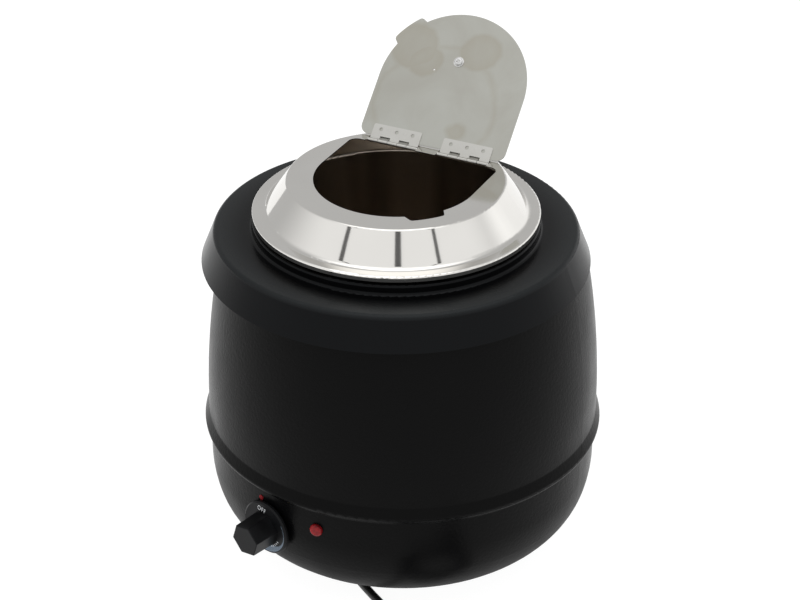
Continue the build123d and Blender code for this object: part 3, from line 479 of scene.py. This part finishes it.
# ---------------------------------------------------------------- control knob
KNOB_AZ, KNOB_Z = -105.0, 0.0780
DIAL_FACE_R = 0.1764                         # the dial's front face, from the body's axis
PRINT_T = 0.00006                            # the scale's thickness, and the ticks' on top of it
OFF_SIZE, OFF_R = 0.0066, 0.0180             # the word's size, and how far it is from the dial's middle
OFF_AZ, OFF_TILT = 10, -18                   # degrees round the dial, and about its own middle
OFF_WIDTH, LETTER_SPACE = 0.74, 1.18         # of the font's own
LETTER_HALF_T = 0.00004
SCALE_R, SCALE_START = 0.0224, 30            # the band's outer edge, and its start in degrees
SCALE_PARTS, SCALE_STEP, SCALE_LAP = 26, 5, 0.05
BAND_LEAST, BAND_GROWTH, GROWING_PARTS = 0.0003, 0.0070, 18
TICKS, TICK_IN, TICK_OUT = 5, 0.0160, 0.0176
TICK_START, TICK_STEP, TICK_WIDE = -26, 9, 2.5          # degrees


def flat_text(name, text, size, matrix, material, body):
    """Printed lettering, as a mesh with a little thickness."""
    curve = bpy.data.curves.new(name, "FONT")
    curve.body = text
    curve.size = size
    curve.align_x = "CENTER"
    curve.align_y = "CENTER"
    curve.extrude = LETTER_HALF_T
    curve.space_character = LETTER_SPACE
    curve.resolution_u = 4
    made = link(bpy.data.objects.new(name + "_curve", curve))
    bpy.context.view_layer.update()
    mesh = bpy.data.meshes.new_from_object(made.evaluated_get(bpy.context.evaluated_depsgraph_get()))
    bpy.data.objects.remove(made)
    obj = link(bpy.data.objects.new(name, mesh))
    obj.matrix_world = matrix
    return finish_piece(obj, body, material)


def ring_sector(bm, r0, r1, a0, a1, z0, z1, steps):
    """A flat curved bar from angle a0 to a1 (degrees) between radii r0 and r1."""
    rows = []
    for k in range(steps + 1):
        a = a0 + (a1 - a0) * k / steps
        rows.append([bm.verts.new(polar(r, a, z)) for r, z in ((r0, z0), (r1, z0), (r1, z1), (r0, z1))])
    for p, q in zip(rows, rows[1:]):
        for i in range(4):
            bm.faces.new((p[i], p[(i + 1) % 4], q[(i + 1) % 4], q[i]))
    bm.faces.new(rows[0])
    bm.faces.new(rows[-1][::-1])


def dial_print():
    """OFF near the top, and the heat scale: a curved band that widens, with ticks beside it."""
    dial = wall_matrix(DIAL_FACE_R, KNOB_AZ, KNOB_Z)
    around = Matrix.Rotation(radians(OFF_AZ), 4, "Z")
    tilt = Matrix.Rotation(radians(OFF_TILT), 4, "Z") @ Matrix.Scale(OFF_WIDTH, 4, (1, 0, 0))
    at_top = around @ Matrix.Translation((0, OFF_R, PRINT_T)) @ tilt
    flat_text("dial_off", "OFF", OFF_SIZE, dial @ at_top, M_WHITE_INK, "knob")
    bm = bmesh.new()
    for k in range(SCALE_PARTS):
        a = SCALE_START - SCALE_STEP * k
        wide = BAND_LEAST + BAND_GROWTH * min(k / GROWING_PARTS, 1.0) ** 3
        ring_sector(bm, SCALE_R - wide, SCALE_R, a, a - SCALE_STEP - SCALE_LAP, 0.0, PRINT_T, 2)
    bmesh.ops.transform(bm, matrix=dial, verts=bm.verts)
    finish_piece(mesh_piece("dial_scale", bm, smooth=False), "knob", M_BLUE_INK)
    bm = bmesh.new()
    for k in range(TICKS):
        a = TICK_START - TICK_STEP * k
        ring_sector(bm, TICK_IN, TICK_OUT, a, a - TICK_WIDE, PRINT_T, 2 * PRINT_T, 1)
    bmesh.ops.transform(bm, matrix=dial, verts=bm.verts)
    finish_piece(mesh_piece("dial_ticks", bm, smooth=False), "knob", M_WHITE_INK)


dial_print()

# ---------------------------------------------------------------- hinge details
HINGE = Vector((-0.0056, 0.0567, 0.3412))
OPEN_ANGLE = 135.0
KNUCKLE_R = 0.0019
LEAF_T = 0.0006
LEAF_STARTS = (0.0105, -0.0565)              # where each leaf begins, along the hinge
WELDS, WELD_Y = (0.0153, 0.0305), -0.0114    # two welds on each leaf
# a weld's section: radius, and depth in the leaf's face
WELD_SECTION = ((0.0004, 0.00003), (0.0006, 0.00012), (0.0009, 0.00012), (0.0011, 0.0))
WELD_SIDES = 16
WELD_CLEAR = 0.00001                         # keeps a weld's rim off the leaf's face


def flap_matrix(height):
    """The open flap's plane at the hinge: x along the hinge, -y up the flap, z out of its outer side."""
    out = Vector((0, sin(radians(OPEN_ANGLE)), cos(radians(OPEN_ANGLE))))
    side = Vector((1, 0, 0))
    turn = Matrix((side, out.cross(side), out)).transposed().to_4x4()
    return Matrix.Translation(HINGE + out * height) @ turn


def weld_marks(name, matrix, places, body):
    """Spot welds: shallow dished rings on a leaf."""
    bm = bmesh.new()
    for x, y in places:
        rings = []
        for r, h in WELD_SECTION:
            corners = [polar(r, 360 * k / WELD_SIDES, -h) for k in range(WELD_SIDES)]
            rings.append([bm.verts.new(Vector((x, y, 0)) + corner) for corner in corners])
        bm.faces.new(rings[0])
        for a, b in zip(rings, rings[1:]):
            for k in range(WELD_SIDES):
                after = (k + 1) % WELD_SIDES
                bm.faces.new((a[k], a[after], b[after], b[k]))
    bmesh.ops.transform(bm, matrix=matrix, verts=bm.verts)
    return finish_piece(mesh_piece(name, bm), body, M_LEAF)


weld_marks("flap_leaf_welds", flap_matrix(KNUCKLE_R - LEAF_T - WELD_CLEAR),
           [(start + x, WELD_Y) for start in LEAF_STARTS for x in WELDS], "flap")

# ---------------------------------------------------------------- stage
FLOOR_HALF, FLOOR_GLOW = 9.0, 0.94
TENT_BACK, TENT_FRONT, TENT_TOP = 0.56, 1.0, 1.7
BACK_ENDS, FRONT_STARTS = -0.6, 0.3          # along the camera's bearing
TOP_STARTS, TOP_FULL = 0.80, 0.98            # sines of elevation
# a window behind the right: bearing from the camera's, extra light, full and faded half width (degrees),
# and the sines of elevation between which it fades
WINDOW_AT, WINDOW_LIGHT = 128, 0.55
WINDOW_FULL, WINDOW_FADED = 16, 38
WINDOW_LOW, WINDOW_HIGH = 0.36, 0.60
# dark gaps: bearing from the camera's, half width (degrees), lowest and highest sine of elevation
TENT_GAPS = [(-52, 2.6, 0.45, 0.80), (41, 2.2, 0.45, 0.80), (2, 4.0, 0.60, 0.72)]
GAP_LIGHT, GAP_EDGE = 0.12, 0.03


def make_floor():
    """A light table: it glows white, so that what stands on it throws next to no shadow."""
    bm = bmesh.new()
    bmesh.ops.create_grid(bm, x_segments=1, y_segments=1, size=FLOOR_HALF)
    floor = mesh_piece("floor", bm, smooth=False)
    n = MaterialNodes("pale_floor")
    n.set(Base_Color=n.mix(n.noise(2.0), grey(0.17), grey(0.20)), Roughness=0.8, Specular_IOR_Level=0.0,
          Emission_Color=grey(1.0), Emission_Strength=FLOOR_GLOW)
    floor.data.materials.append(n.material)


def make_world():
    """A white tent: brightest at the top, dimmer behind, with narrow dark gaps on the camera's side."""
    world = bpy.data.worlds.new("tent")
    bpy.context.scene.world = world
    n = Nodes(world)
    place = n.add("ShaderNodeTexCoord").outputs["Generated"]

    def along(direction):
        node = n.add("ShaderNodeVectorMath", operation="DOT_PRODUCT")
        n.put(node.inputs[0], place)
        n.put(node.inputs[1], direction)
        return node.outputs["Value"]

    def span(*values):
        return n.span(*values, how="SMOOTHSTEP")

    def off_bearing(degrees):
        return n.math("ABSOLUTE", n.math("SUBTRACT", bearing, radians(degrees)))

    toward, across, height = along(polar(1, CAMERA_AZ)), along(polar(1, CAMERA_AZ + 90)), along(UP)
    bearing = n.math("ARCTAN2", across, toward)
    light = span(toward, BACK_ENDS, FRONT_STARTS, TENT_BACK, TENT_FRONT)
    light = span(height, TOP_STARTS, TOP_FULL, light, TENT_TOP)
    for centre, half_width, low, high in TENT_GAPS:
        beside = span(off_bearing(centre), radians(half_width * 0.6), radians(half_width), 0.0, 1.0)
        below = span(height, low - GAP_EDGE, low, 1.0, 0.0)
        above = span(height, high, high + GAP_EDGE, 0.0, 1.0)
        outside = n.math("MAXIMUM", beside, n.math("MAXIMUM", below, above))
        light = n.math("MULTIPLY", light, span(outside, 0.0, 1.0, GAP_LIGHT, 1.0))
    level = span(height, WINDOW_LOW, WINDOW_HIGH, 1.0, 0.0)
    aside = span(off_bearing(WINDOW_AT), radians(WINDOW_FULL), radians(WINDOW_FADED), 1.0, 0.0)
    light = n.math("ADD", light, n.math("MULTIPLY", n.math("MULTIPLY", level, aside), WINDOW_LIGHT))
    # the camera itself sees plain white
    eye = n.add("ShaderNodeLightPath").outputs["Is Camera Ray"]
    background = n.tree.nodes["Background"]
    n.put(background.inputs["Strength"], n.math("MAXIMUM", light, eye))
    n.put(background.inputs["Color"], grey(1.0))


bpy.context.scene.view_settings.view_transform = "Standard"
make_floor()
make_world()
